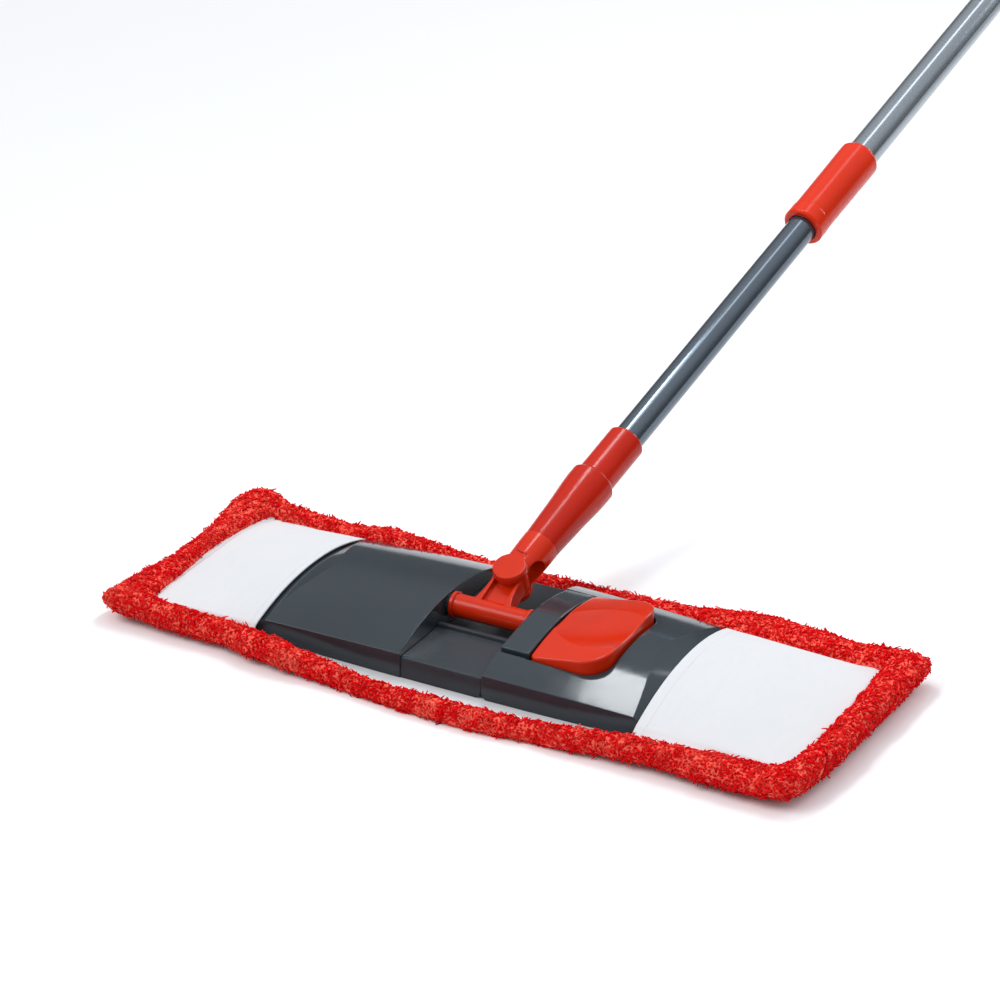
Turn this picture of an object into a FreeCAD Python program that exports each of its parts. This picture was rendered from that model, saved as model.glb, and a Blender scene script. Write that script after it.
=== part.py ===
import FreeCAD, Part
import math
import os

V = FreeCAD.Vector
os.makedirs("parts", exist_ok=True)

# Flat mop with a folding pocket plate and a telescopic handle. Millimetres, +Z up.
# Origin: centre of the pad's sole. +X runs along the pad, towards the pedal side.
# The front of the mop is -Y and the handle leans back towards +Y.

# ---- pad -----------------------------------------------------------------------------
PAD_HALF_L = 233.0          # to the tips of the pile
PAD_HALF_W_MID = 92.0
PAD_HALF_W_END = 80.0
PAD_CORNER_R = 20.0
CLOTH_HALF_L = 208.0        # woven backing inside the pile border
CLOTH_HALF_W_MID = 75.0
CLOTH_HALF_W_END = 62.0
CLOTH_CORNER_R = 8.0
SOLE_T = 3.4                # pile under the plate
BORDER_TOP = 11.0           # pile border stands this high around the cloth
CLOTH_T = 1.2
POCKET_T = 1.0
FOLD_GAP_L = 3.0            # the pad stops short of the fold line on either side,
FOLD_GAP_R = 7.6            # so that the right half can hang down

# ---- plate ---------------------------------------------------------------------------
PLATE_X = -10.0             # plate centre, the pad sits a little off centre on it
PLATE_Z = 5.0               # underside of the plate
CROWN_Z = 32.0
ARCH_R = 162.0              # cross section of both wings
SAG_R = 2000.0              # slight fall of the crown towards the ends
WING_HALF_W_MID = 61.0
WING_HALF_W_END = 56.5
WING_TIP = 166.0            # tip of each wing from the plate centre
WING_DRAFT = 1.0
SHELL_T = 2.4
BEVEL_START = 106.0         # end bevel down to the pocket's edge
BEVEL_END = 122.0
BASE_T = 2.2
GAP = 0.3                   # between neighbouring pieces

# ---- centre recess -------------------------------------------------------------------
RECESS_L = -27.0            # inner end of the left wing
SPLIT = 25.5                # fold line between the recess and the right wing
HUB_TOP = 18.0
FOLD_Z = 7.5
KNUCKLE_R = 2.4
FOLD_PIN_R = 1.2
TONGUE_END = 44.5
BRIDGE_FRONT = -38.5
BRIDGE_BACK = 45.0

# ---- pedal ---------------------------------------------------------------------------
PEDAL_L = 46.0
PEDAL_R = 90.5
PEDAL_HALF_W = 40.5
PEDAL_CORNER_R = 15.0
PEDAL_PIVOT_X = 66.0
PEDAL_PIVOT_Z = 19.0
PEDAL_PIN_R = 2.0
SPRING_X = 81.0

# ---- joint ---------------------------------------------------------------------------
AXLE_Z = 24.0
AXLE_ROD_R = 3.0
YOKE_TUBE_R = 7.0
YOKE_FLANGE_R = 8.0
STEM_L = 28.3               # axle to swivel pin
TILT = 68.4                 # handle's lean back from upright, degrees
SIDE = 8.1                  # handle's lean towards +X about the swivel pin, degrees
CHEEK_R = 10.4
CHEEK_IN = 6.6
CHEEK_OUT = 10.2
SWIVEL_PIN_R = 2.5
RUN = 0.05                  # radial running clearance

# ---- handle, stations along its axis from the swivel pin ------------------------------
NECK_R = 11.7
NECK_END = 30.0
SOCKET_END = 88.0
SOCKET_R = 14.6
FERRULE_START = 52.0
FERRULE_END = 126.0
FERRULE_R = 12.1
LOWER_R = 9.6
LOWER_WALL = 0.8
LOWER_START = 66.0
LOWER_END = 640.0
COLLAR_START = 341.0
COLLAR_END = 418.0
COLLAR_R = 14.0
UPPER_R = 10.7
UPPER_WALL = 0.8
UPPER_START = 384.0
UPPER_END = 1000.0
GRIP_START = 880.0
GRIP_R = 13.2
CAP_END = 1058.0
HANG_R = 7.0

fold_x = PLATE_X + SPLIT


def box(x0, x1, y0, y1, z0, z1):
    return Part.makeBox(x1 - x0, y1 - y0, z1 - z0, V(x0, y0, z0))


def rod_x(x0, x1, r, y, z):
    return Part.makeCylinder(r, x1 - x0, V(x0, y, z), V(1, 0, 0))


def rod_y(y0, y1, r, x, z):
    return Part.makeCylinder(r, y1 - y0, V(x, y0, z), V(0, 1, 0))


def rod_z(z0, z1, r, x, y):
    return Part.makeCylinder(r, z1 - z0, V(x, y, z0), V(0, 0, 1))


def tube_z(z0, z1, r_out, r_in, x=0.0, y=0.0):
    return rod_z(z0, z1, r_out, x, y).cut(rod_z(z0 - 1, z1 + 1, r_in, x, y))


def turned(profile):
    """Solid of revolution about Z from (radius, height) points."""
    pts = [V(r, 0, z) for r, z in profile]
    face = Part.Face(Part.makePolygon(pts + [pts[0]]))
    return face.revolve(V(0, 0, 0), V(0, 0, 1), 360)


def soften(shape, radius, picks):
    """Fillet the edges that picks(edge) accepts, leaving the shape alone if that fails."""
    edges = [e for e in shape.Edges if picks(e)]
    if not edges:
        return shape
    try:
        out = shape.makeFillet(radius, edges)
    except (Part.OCCError, ValueError):
        return shape
    return out if out.isValid() else shape


def barrel_wire(half_l, w_mid, w_end, z, x0=0.0):
    """Closed outline: bowed long sides and straight ends, at height z."""
    a, b = V(x0 - half_l, -w_end, z), V(x0 + half_l, -w_end, z)
    c, d = V(x0 + half_l, w_end, z), V(x0 - half_l, w_end, z)
    front = Part.Arc(a, V(x0, -w_mid, z), b).toShape()
    back = Part.Arc(c, V(x0, w_mid, z), d).toShape()
    return Part.Wire([front, Part.makeLine(b, c), back, Part.makeLine(d, a)])


def barrel(half_l, w_mid, w_end, z0, z1, corner, x0=0.0, draft=0.0):
    low = barrel_wire(half_l, w_mid, w_end, z0, x0)
    high = barrel_wire(half_l, w_mid - draft, w_end - draft, z1, x0)
    body = Part.makeLoft([low, high], True, True)
    upright = [e for e in body.Edges if abs(e.BoundBox.ZLength - (z1 - z0)) < 0.01]
    return body.makeFillet(corner, upright) if corner > 0 else body


def arch_wire(x, half_w, edge, crown, floor):
    a, b = V(x, -half_w, edge), V(x, half_w, edge)
    c, d = V(x, half_w, floor), V(x, -half_w, floor)
    top = Part.Arc(a, V(x, 0, crown), b).toShape()
    return Part.Wire([top, Part.makeLine(b, c), Part.makeLine(c, d), Part.makeLine(d, a)])


def crowned_body(inset):
    """Everything under the double-curved crown surface, inset along its normal."""
    r, crown, half = ARCH_R - inset, CROWN_Z - inset, 80.0
    edge = crown - (r - math.sqrt(r * r - half * half))
    face = Part.Face(arch_wire(PLATE_X, half, edge, crown, -6.0))
    centre = V(PLATE_X, 0, CROWN_Z - SAG_R)
    face.rotate(centre, V(0, 1, 0), -5)
    return face.revolve(centre, V(0, 1, 0), 10)


def wing_body(side, inner, inset):
    """One wing as a solid, from |x| = inner to its tip; inset shrinks it on every side."""
    tip = WING_TIP - inset
    plan = barrel(tip, WING_HALF_W_MID - inset, WING_HALF_W_END - inset,
                  PLATE_Z, 40.0, 14.0 - inset, PLATE_X, WING_DRAFT)
    stations = [(BEVEL_START, 27.0, 29.6), (BEVEL_END, 13.0, 25.3), (WING_TIP, 7.6, 9.4)]
    wires = [arch_wire(PLATE_X + side * x, 64.0, edge - inset, crown - inset, 0.0)
             for x, edge, crown in stations]
    middle = box(PLATE_X - BEVEL_START, PLATE_X + BEVEL_START, -64, 64, 0, 40)
    envelope = Part.makeLoft(wires, True, True).fuse(middle)
    near, far = PLATE_X + side * (inner + inset), PLATE_X + side * 200
    half = box(min(near, far), max(near, far), -70, 70, PLATE_Z, 40)
    return crowned_body(inset).common(plan).common(envelope).common(half)


def boss(x, y, z_top):
    return rod_z(PLATE_Z + BASE_T + 0.1, z_top, 4.0, x, y)


def one_solid(shape):
    """The largest solid of a shape, so that no sliver goes out with it."""
    solids = sorted(shape.Solids, key=lambda s: s.Volume)
    return solids[-1]


# ---- plate pieces --------------------------------------------------------------------
LEFT_SCREWS = [(PLATE_X - 55, -34), (PLATE_X - 55, 34), (PLATE_X - 112, 0)]
RIGHT_SCREWS = [(PLATE_X + 112, -26), (PLATE_X + 112, 26), (PLATE_X + 52, -52)]


def knuckle(y0, y1, reach, side):
    """Hinge knuckle with the web that joins it to its own side."""
    eye = rod_y(y0, y1, KNUCKLE_R, fold_x, FOLD_Z)
    x0, x1 = sorted((fold_x, fold_x + side * reach))
    web = box(x0, x1, y0, y1, FOLD_Z - 0.6, FOLD_Z + KNUCKLE_R - 0.4)
    return eye.fuse(web)


def relief(side):
    """Wedge cut from the lower edge beside the fold line, so the wing can hang down."""
    low, reach = PLATE_Z - 1, side * (FOLD_Z - PLATE_Z + 1.4)
    tip = V(fold_x - side * 0.1, -70, FOLD_Z + 0.2)
    pts = [tip, V(fold_x + reach, -70, low), V(fold_x - side * 6, -70, low),
           V(fold_x - side * 6, -70, FOLD_Z + 0.2), tip]
    return Part.Face(Part.makePolygon(pts)).extrude(V(0, 140, 0))


HUB_KNUCKLES = [(-55.0, -49.5), (51.0, 54.0)]
WING_KNUCKLES = [(-59.0, -55.3), (-49.2, -45.0), (49.2, 50.7), (54.3, 58.0)]


def wing_cover_left():
    outer = wing_body(-1, -RECESS_L, 0)
    hollow = wing_body(-1, -RECESS_L, SHELL_T)
    hollow = hollow.fuse(hollow.translated(V(0, 0, -SHELL_T - 0.2)))
    shell = outer.cut(hollow)
    rod_seat = rod_x(PLATE_X + RECESS_L - 14, PLATE_X + RECESS_L + 1.9, 6.0, 0, AXLE_Z)
    adds = [rod_seat]
    for x, y in LEFT_SCREWS:
        adds.append(boss(x, y, 40).common(outer))
    for x in (-78, -138):
        adds.append(box(PLATE_X + x, PLATE_X + x + 1.6, -60, 60, PLATE_Z + BASE_T + 0.1, 40)
                    .common(outer))
    shell = shell.multiFuse(adds)
    for x, y in LEFT_SCREWS:
        shell = shell.cut(rod_z(PLATE_Z, PLATE_Z + 10, 1.5, x, y))
    shell = shell.cut(rod_x(PLATE_X + RECESS_L - 11, PLATE_X + RECESS_L + 3, AXLE_ROD_R, 0, AXLE_Z))
    return one_solid(shell)


def pedal_well(grow, z0):
    """Space for the bridge and the pedal inside the right wing."""
    a = box(fold_x - 2 - grow, PLATE_X + TONGUE_END + 1.2, BRIDGE_FRONT - 2.6 - grow,
            BRIDGE_BACK + 0.8 + grow, z0, 45)
    b = box(PLATE_X + TONGUE_END - 1, PLATE_X + PEDAL_R + 1.4 + grow, -PEDAL_HALF_W - 1 - grow,
            PEDAL_HALF_W + 1 + grow, z0, 45)
    right = PLATE_X + PEDAL_R
    corners = [e for e in b.Edges if e.BoundBox.ZLength > 20 and e.CenterOfMass.x > right]
    return a.fuse(b.makeFillet(PEDAL_CORNER_R + 1 + grow, corners))


def wing_cover_right():
    inner = SPLIT + GAP
    outer = wing_body(1, inner, 0).cut(pedal_well(0, 0))
    hollow = wing_body(1, inner, SHELL_T).cut(pedal_well(SHELL_T, 0))
    hollow = hollow.fuse(hollow.translated(V(0, 0, -SHELL_T - 0.2)))
    seat = barrel(WING_TIP - SHELL_T, WING_HALF_W_MID - SHELL_T, WING_HALF_W_END - SHELL_T,
                  PLATE_Z - 1, PLATE_Z + BASE_T + 0.1, 8.0, PLATE_X)
    seat = seat.common(box(fold_x + GAP + SHELL_T, 400, -90, 90, 0, 20))
    shell = outer.cut(hollow).cut(seat)
    adds = []
    for x, y in RIGHT_SCREWS:
        adds.append(boss(x, y, 40).common(outer))
    adds.append(box(PLATE_X + 138, PLATE_X + 139.6, -60, 60, PLATE_Z + BASE_T + 0.1, 40).common(outer))
    shell = shell.multiFuse(adds).cut(relief(1))
    for y0, y1 in HUB_KNUCKLES:
        room = rod_y(y0 - GAP, y1 + GAP, KNUCKLE_R + 0.4, fold_x, FOLD_Z)
        shell = shell.cut(room)
    shell = shell.multiFuse([knuckle(y0, y1, 3.5, 1) for y0, y1 in WING_KNUCKLES])
    shell = shell.cut(rod_y(-70, 70, FOLD_PIN_R + RUN, fold_x, FOLD_Z))
    for x, y in RIGHT_SCREWS:
        shell = shell.cut(rod_z(PLATE_Z, PLATE_Z + 10, 1.5, x, y))
    return one_solid(shell)


def wing_base(side):
    inner = 29.8 if side < 0 else SPLIT + 5.0
    inset = SHELL_T + GAP
    plan = barrel(WING_TIP - inset - 12, WING_HALF_W_MID - inset - WING_DRAFT / 4,
                  WING_HALF_W_END - inset - WING_DRAFT / 4, PLATE_Z, PLATE_Z + BASE_T, 8.0, PLATE_X)
    near, far = PLATE_X + side * inner, PLATE_X + side * 200
    plate = plan.common(box(min(near, far), max(near, far), -70, 70, 0, 10))
    for x in (96, 124):
        for y in (-34, 18):
            slot = box(PLATE_X + side * x - 9, PLATE_X + side * x + 9, y, y + 16, 0, 10)
            if side < 0 or x > 100:
                plate = plate.cut(slot)
    screws = LEFT_SCREWS if side < 0 else RIGHT_SCREWS
    for x, y in screws:
        plate = plate.fuse(rod_z(PLATE_Z, PLATE_Z + BASE_T, 5.5, x, y).common(plan))
        plate = plate.cut(rod_z(0, 20, 1.6, x, y))
        plate = plate.cut(rod_z(0, PLATE_Z + 1.3, 3.1, x, y))
    if side > 0:
        plate = plate.multiFuse(pedal_posts())
        plate = plate.cut(rod_y(-60, 60, PEDAL_PIN_R, PLATE_X + PEDAL_PIVOT_X, PEDAL_PIVOT_Z))
        seat = tube_z(PLATE_Z + BASE_T - 0.5, PLATE_Z + BASE_T + 1.2, 6.2, 4.9, PLATE_X + SPRING_X, 0)
        plate = plate.fuse(seat)
    return one_solid(plate)


def pedal_posts():
    """Two uprights of the right base that carry the pedal's pin."""
    posts = []
    x = PLATE_X + PEDAL_PIVOT_X
    for y in (-22.0, 19.0):
        leg = box(x - 4, x + 4, y, y + 3, PLATE_Z + 0.5, PEDAL_PIVOT_Z)
        posts.append(leg.fuse(rod_y(y, y + 3, 4.0, x, PEDAL_PIVOT_Z)))
    return posts


def base_screw(x, y):
    head = rod_z(PLATE_Z + 0.1, PLATE_Z + 1.25, 2.8, x, y)
    shank = rod_z(PLATE_Z + 1.0, PLATE_Z + 9.0, 1.35, x, y)
    cross = box(x - 1.6, x + 1.6, y - 0.3, y + 0.3, 0, PLATE_Z + 0.8)
    cross = cross.fuse(box(x - 0.3, x + 0.3, y - 1.6, y + 1.6, 0, PLATE_Z + 0.8))
    return head.fuse(shank).cut(cross)


def hub_block():
    x0, x1 = PLATE_X + RECESS_L + 0.15, fold_x - GAP
    deck = HUB_TOP
    outline = [(-60.4, PLATE_Z), (-59.8, deck - 1.6), (-59.3, deck - 0.5), (-58.2, deck),
               (-30, deck - 1.0), (-18.0, deck - 1.0), (-17.2, deck + 1.4), (-14.6, deck + 1.4),
               (-13.8, 13.4), (-12, 11.6), (14, 11.6), (18.4, deck - 2.0), (58.2, deck - 1.4),
               (59.3, deck - 1.9), (60.4, PLATE_Z)]
    pts = [V(x0, y, z) for y, z in outline]
    block = Part.Face(Part.makePolygon(pts + [pts[0]])).extrude(V(x1 - x0, 0, 0))
    for y0, y1 in ((-57.5, -24.5), (-11.5, 11.5), (24.5, 57.5)):
        top = 9.0 if abs(y0) < 12 else 13.6
        block = block.cut(box(x0 + 2.4, x1 - 6.5, y0, y1, PLATE_Z - 1, top))
    tongue = box(x1 - 2, PLATE_X + TONGUE_END, BRIDGE_FRONT + 3, BRIDGE_BACK - 3, 8.4, 11.6)
    block = block.fuse(tongue).cut(relief(-1))
    for y0, y1 in WING_KNUCKLES:
        block = block.cut(rod_y(y0 - GAP, y1 + GAP, KNUCKLE_R + 0.4, fold_x, FOLD_Z))
    block = block.multiFuse([knuckle(y0, y1, 3.5, -1) for y0, y1 in HUB_KNUCKLES])
    return one_solid(block.cut(rod_y(-70, 70, FOLD_PIN_R, fold_x, FOLD_Z)))


def axle_bridge():
    """Strap over the right end of the axle, standing on the hub's tongue."""
    x0, x1 = PLATE_X + SPLIT + 0.9, PLATE_X + TONGUE_END
    front = (BRIDGE_FRONT, 28.2)
    ridge = (1.0, CROWN_Z + 0.3)
    back = (BRIDGE_BACK, 25.2)
    a, b, c = (V(x0, y, z) for y, z in (front, ridge, back))
    rise = Part.Arc(a, V(x0, -19.5, 30.6), b).toShape()
    fall = Part.Arc(b, V(x0, 25, 29.9), c).toShape()
    d, e = V(x0, BRIDGE_BACK, 11.7), V(x0, BRIDGE_FRONT, 11.7)
    lines = [Part.makeLine(c, d), Part.makeLine(d, e), Part.makeLine(e, a)]
    body = Part.Face(Part.Wire([rise, fall] + lines)).extrude(V(x1 - x0, 0, 0))
    body = soften(body, 1.0, lambda k: k.BoundBox.XLength < 0.01 and k.BoundBox.ZMin > 24)
    corner = [k for k in body.Edges if k.BoundBox.YMax < BRIDGE_FRONT + 0.5 and k.BoundBox.XLength > 5]
    body = soften(body, 0.8, lambda k: any(k.isSame(e) for e in corner if e.BoundBox.ZMin > 20))
    under = [(BRIDGE_FRONT - 1, 24.6), (BRIDGE_FRONT + 3, 25.4), (-24, 27.4), (-11, 28.6),
             (-11, 10.0), (BRIDGE_FRONT - 1, 10.0)]
    pts = [V(x0 - 1, y, z) for y, z in under]
    body = body.cut(Part.Face(Part.makePolygon(pts + [pts[0]])).extrude(V(13.0, 0, 0)))
    body = body.cut(box(x0 - 1, x0 + 12, 11, BRIDGE_BACK - 3, 10, 20.5))
    body = body.cut(box(x0 - 1, x1 + 1, BRIDGE_FRONT - 1, BRIDGE_FRONT + 2.6, 10, 23.4))
    nib = box(x1 - 0.5, x1 + 0.9, -9, 9, 17.8, 20.2)
    body = body.fuse(nib)
    body = body.cut(rod_x(x0 - 1, x0 + 13, AXLE_ROD_R, 0, AXLE_Z))
    return one_solid(body)


def axle_rod():
    return rod_x(PLATE_X + RECESS_L - 10.5, PLATE_X + SPLIT + 13.4, AXLE_ROD_R, 0, AXLE_Z)


def fold_pin(side):
    y0, y1 = (-58.5, -45.2) if side < 0 else (49.4, 57.6)
    return rod_y(y0, y1, FOLD_PIN_R, fold_x, FOLD_Z)


def pedal():
    x0, x1 = PLATE_X + PEDAL_L, PLATE_X + PEDAL_R
    top = Part.makeLoft([arch_wire(x0 - 0.01, 44, 26.6, 32.4, 8), arch_wire(x1 + 0.01, 44, 34.8, 36.0, 8)],
                        True, True)
    prism = box(x0, x1, -PEDAL_HALF_W, PEDAL_HALF_W, 12.5, 45)
    rim = [e for e in prism.Edges if e.BoundBox.ZLength > 20]
    right = [e for e in rim if e.CenterOfMass.x > x0 + 10]
    prism = prism.makeFillet(PEDAL_CORNER_R, right)
    left = [e for e in prism.Edges if e.BoundBox.ZLength > 20 and e.CenterOfMass.x < x0 + 2
            and e.BoundBox.YLength < 0.01]
    prism = prism.makeFillet(3.0, left)
    body = prism.common(top)
    scoop = Part.makeSphere(110.0, V(x0 + 17, -2, 30.6 + 110.0))
    body = body.cut(scoop)
    body = soften(body, 1.2, lambda k: k.BoundBox.ZMin > 24 and k.BoundBox.ZLength < 14)
    lower_top = top.translated(V(0, 0, -5.6))
    inner = box(x0 + 2.4, x1 - 2.4, -PEDAL_HALF_W + 2.4, PEDAL_HALF_W - 2.4, 5, 45)
    inner_edges = [e for e in inner.Edges if e.BoundBox.ZLength > 20 and e.CenterOfMass.x > x0 + 10]
    inner = inner.makeFillet(PEDAL_CORNER_R - 2.4, inner_edges).common(lower_top)
    body = body.cut(inner)
    x = PLATE_X + PEDAL_PIVOT_X
    for y in (-26.0, 23.0):
        lug = box(x - 4, x + 4, y, y + 3, PEDAL_PIVOT_Z, 29).fuse(rod_y(y, y + 3, 4.0, x, PEDAL_PIVOT_Z))
        body = body.fuse(lug)
    body = body.fuse(box(x0 - 0.2, x0 + 1, -8, 8, 18.0, 20.0))
    body = body.cut(rod_y(-27, 27, PEDAL_PIN_R + RUN, x, PEDAL_PIVOT_Z))
    return one_solid(body)


def pedal_pin():
    return rod_y(-25.8, 25.8, PEDAL_PIN_R, PLATE_X + PEDAL_PIVOT_X, PEDAL_PIVOT_Z)


def pedal_spring():
    base, top, turns = PLATE_Z + BASE_T + 0.5, 28.6, 6.0
    helix = Part.makeHelix((top - base) / turns, top - base, 4.0)
    wire = Part.Wire([Part.Circle(V(4.0, 0, 0), V(0, 1, 0), 0.45).toShape()])
    coil = Part.Wire(helix.Edges).makePipeShell([wire], True, True)
    coil.translate(V(PLATE_X + SPRING_X, 0, base))
    return coil


# ---- pad pieces ----------------------------------------------------------------------
def side_box(side, z0, z1):
    if side < 0:
        return box(-400, fold_x - FOLD_GAP_L, -200, 200, z0, z1)
    return box(fold_x + FOLD_GAP_R, 400, -200, 200, z0, z1)


def pile(side):
    outer = barrel(PAD_HALF_L, PAD_HALF_W_MID, PAD_HALF_W_END, 0, BORDER_TOP, PAD_CORNER_R)
    tray = barrel(CLOTH_HALF_L + 0.3, CLOTH_HALF_W_MID + 0.3, CLOTH_HALF_W_END + 0.3,
                  SOLE_T, BORDER_TOP + 5, CLOTH_CORNER_R)
    body = outer.cut(tray)
    crest = [e for e in body.Edges
             if abs(e.BoundBox.ZMin - BORDER_TOP) < 0.01 and e.BoundBox.ZLength < 0.01]
    body = body.makeFillet(4.0, crest)
    return body.common(side_box(side, -1, 20))


def backing(side):
    sheet = barrel(CLOTH_HALF_L, CLOTH_HALF_W_MID, CLOTH_HALF_W_END,
                   SOLE_T + 0.1, SOLE_T + 0.1 + CLOTH_T, CLOTH_CORNER_R)
    return sheet.common(side_box(side, -1, 20))


def pocket(side):
    """Cloth pocket over one wing's end: open towards the middle, closed at its far end."""
    floor = SOLE_T + 0.1 + CLOTH_T + 0.1
    mouth = PLATE_X + side * (BEVEL_END + 0.5)
    end = side * (CLOTH_HALF_L - 3)
    t = POCKET_T
    skin = [(mouth, 60.2, 16.6, 27.2), (end, 58.4, 12.6, 13.0)]
    room = [(x - side * t, w - t, e - t, c - t) for x, w, e, c in skin]
    inside = Part.makeLoft([arch_wire(x, w, e, c, floor - 1) for x, w, e, c in room], True, True)
    outside = Part.makeLoft([arch_wire(x, w, e, c, floor) for x, w, e, c in skin], True, True)
    return one_solid(outside.cut(inside))


# ---- joint pieces, built upright and then laid along the handle -----------------------
tilt, lean = math.radians(TILT), math.radians(SIDE)
stem_dir = V(0, math.sin(tilt), math.cos(tilt))
pin_dir = V(0, -math.cos(tilt), math.sin(tilt))
axle_point = V(PLATE_X, 0, AXLE_Z)
pin_point = axle_point + stem_dir * STEM_L
handle_dir = V(1, 0, 0) * math.sin(lean) + stem_dir * math.cos(lean)


def laid(shape, base, x_dir, z_dir):
    """Place a shape built along +Z so that its Z runs along z_dir and its X along x_dir."""
    y_dir = z_dir.cross(x_dir)
    m = FreeCAD.Matrix(x_dir.x, y_dir.x, z_dir.x, base.x,
                       x_dir.y, y_dir.y, z_dir.y, base.y,
                       x_dir.z, y_dir.z, z_dir.z, base.z,
                       0, 0, 0, 1)
    out = shape.copy()
    out.Placement = FreeCAD.Placement(m)
    return out


def on_stem(shape):
    return laid(shape, axle_point, V(1, 0, 0), stem_dir)


def on_handle(shape):
    side_dir = V(1, 0, 0) * math.cos(lean) - stem_dir * math.sin(lean)
    return laid(shape, pin_point, side_dir, handle_dir)


def yoke():
    left, right = RECESS_L + 2.2, SPLIT + 0.55
    barrel_tube = rod_x(left, right, YOKE_TUBE_R, 0, 0)
    for x in (left, right - 2.2):
        flange = rod_x(x, x + 2.2, YOKE_FLANGE_R, 0, 0)
        barrel_tube = barrel_tube.fuse(flange)
    web = box(-9.0, 9.0, -3.4, 5.8, 0, STEM_L)
    tongue = rod_y(-CHEEK_IN + GAP, CHEEK_IN - GAP, 9.4, 0, STEM_L)
    body = barrel_tube.multiFuse([web, tongue])
    for s in (-1, 1):
        foot, waist, head = V(s * 12.4, -6.2, 2.0), V(s * 10.2, -6.2, 9.0), V(s * 9.4, -6.2, STEM_L)
        inner_head, inner_foot = V(s * 6.6, -6.2, STEM_L), V(s * 7.6, -6.2, 2.0)
        rim = Part.Arc(foot, waist, head).toShape()
        lines = [Part.makeLine(head, inner_head), Part.makeLine(inner_head, inner_foot),
                 Part.makeLine(inner_foot, foot)]
        body = body.fuse(Part.Face(Part.Wire([rim] + lines)).extrude(V(0, 12.4, 0)))
    room = rod_y(-20, -CHEEK_IN + GAP, CHEEK_R + 0.5, 0, STEM_L)
    room = room.fuse(rod_y(CHEEK_IN - GAP, 20, CHEEK_R + 0.5, 0, STEM_L))
    body = body.cut(room)
    body = body.cut(rod_x(left - 1, right + 1, AXLE_ROD_R + RUN, 0, 0))
    body = body.cut(rod_y(-20, 20, SWIVEL_PIN_R + RUN, 0, STEM_L))
    return on_stem(one_solid(body))


def swivel_pin():
    return on_handle(rod_y(-CHEEK_OUT + 1.6, CHEEK_OUT - 1.6, SWIVEL_PIN_R, 0, 0))


def swivel_fork():
    cheek = rod_y(-CHEEK_OUT, CHEEK_OUT, CHEEK_R, 0, 0)
    face = rod_y(-CHEEK_OUT - 1.3, -CHEEK_OUT, 10.0, 0, 0)
    face = face.makeFillet(0.6, [e for e in face.Edges if e.CenterOfMass.y < -CHEEK_OUT - 1])
    lower = Part.Wire([Part.makeCircle(CHEEK_R, V(0, 0, 2))])
    middle = Part.Wire([Part.makeCircle(11.3, V(0, 0, 15))])
    upper = Part.Wire([Part.makeCircle(NECK_R, V(0, 0, NECK_END))])
    neck = Part.makeLoft([lower, middle, upper], True, False)
    trim = box(-14, 14, -CHEEK_OUT, CHEEK_OUT, -20, 13)
    trim = trim.fuse(box(-14, 14, -14, 14, 13, 40))
    body = cheek.fuse(neck.common(trim)).fuse(face)
    body = body.cut(box(-16, 16, -CHEEK_IN, CHEEK_IN, -20, 11.0))
    body = body.cut(rod_x(-16, 16, CHEEK_IN, 0, 11.0))
    spigot = rod_z(NECK_END - 1, NECK_END + 9, 7.4, 0, 0)
    body = body.fuse(spigot)
    body = body.cut(rod_y(-CHEEK_OUT + 1.6, CHEEK_OUT - 1.6, SWIVEL_PIN_R, 0, 0))
    return on_handle(one_solid(body))


def handle_socket():
    profile = [(0, NECK_END + 10), (7.5, NECK_END + 10), (7.5, NECK_END + 0.15), (NECK_R - 0.2, NECK_END + 0.15),
               (NECK_R + 0.3, 40.0), (13.0, 58.0), (14.3, 74.0), (SOCKET_R, 80.0), (SOCKET_R, 86.6),
               (SOCKET_R - 1.0, SOCKET_END), (FERRULE_R + 0.1, SOCKET_END), (FERRULE_R + 0.1, 60.0),
               (10.4, 60.0), (10.4, FERRULE_START - 0.5), (0, FERRULE_START - 0.5)]
    body = turned(profile)
    return on_handle(body)


def handle_ferrule():
    r_in = LOWER_R + 0.05
    profile = [(r_in - 2.0, 60.5), (FERRULE_R, 60.5), (FERRULE_R, FERRULE_END - 1.4),
               (FERRULE_R - 1.2, FERRULE_END), (r_in, FERRULE_END), (r_in, LOWER_START - 0.2),
               (r_in - 2.0, LOWER_START - 0.2)]
    return on_handle(turned(profile))


def lower_tube():
    return on_handle(tube_z(LOWER_START, LOWER_END, LOWER_R, LOWER_R - LOWER_WALL))


def tube_plug():
    r = LOWER_R - LOWER_WALL - 0.05
    profile = [(0, LOWER_END - 18), (r, LOWER_END - 18), (r, LOWER_END + 0.1),
               (UPPER_R - UPPER_WALL - 0.1, LOWER_END + 0.1), (UPPER_R - UPPER_WALL - 0.1, LOWER_END + 5),
               (r - 1, LOWER_END + 6), (0, LOWER_END + 6)]
    return on_handle(turned(profile))


def collet():
    """Split clamping sleeve at the mouth of the upper tube."""
    profile = [(LOWER_R + RUN, COLLAR_START + 6), (10.6, COLLAR_START + 6), (11.8, COLLAR_START + 16),
               (11.8, UPPER_START - 0.2), (LOWER_R + RUN, UPPER_START - 0.2)]
    body = turned(profile)
    for a in (0, 60, 120):
        slit = box(-20, 20, -0.6, 0.6, COLLAR_START + 5, UPPER_START - 10)
        slit.rotate(V(0, 0, 0), V(0, 0, 1), a)
        body = body.cut(slit)
    return on_handle(body)


def tube_bush():
    profile = [(LOWER_R + RUN, UPPER_START + 0.1), (UPPER_R - UPPER_WALL - 0.02, UPPER_START + 0.1),
               (UPPER_R - UPPER_WALL - 0.02, UPPER_START + 26), (LOWER_R + RUN, UPPER_START + 26)]
    return on_handle(turned(profile))


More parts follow.
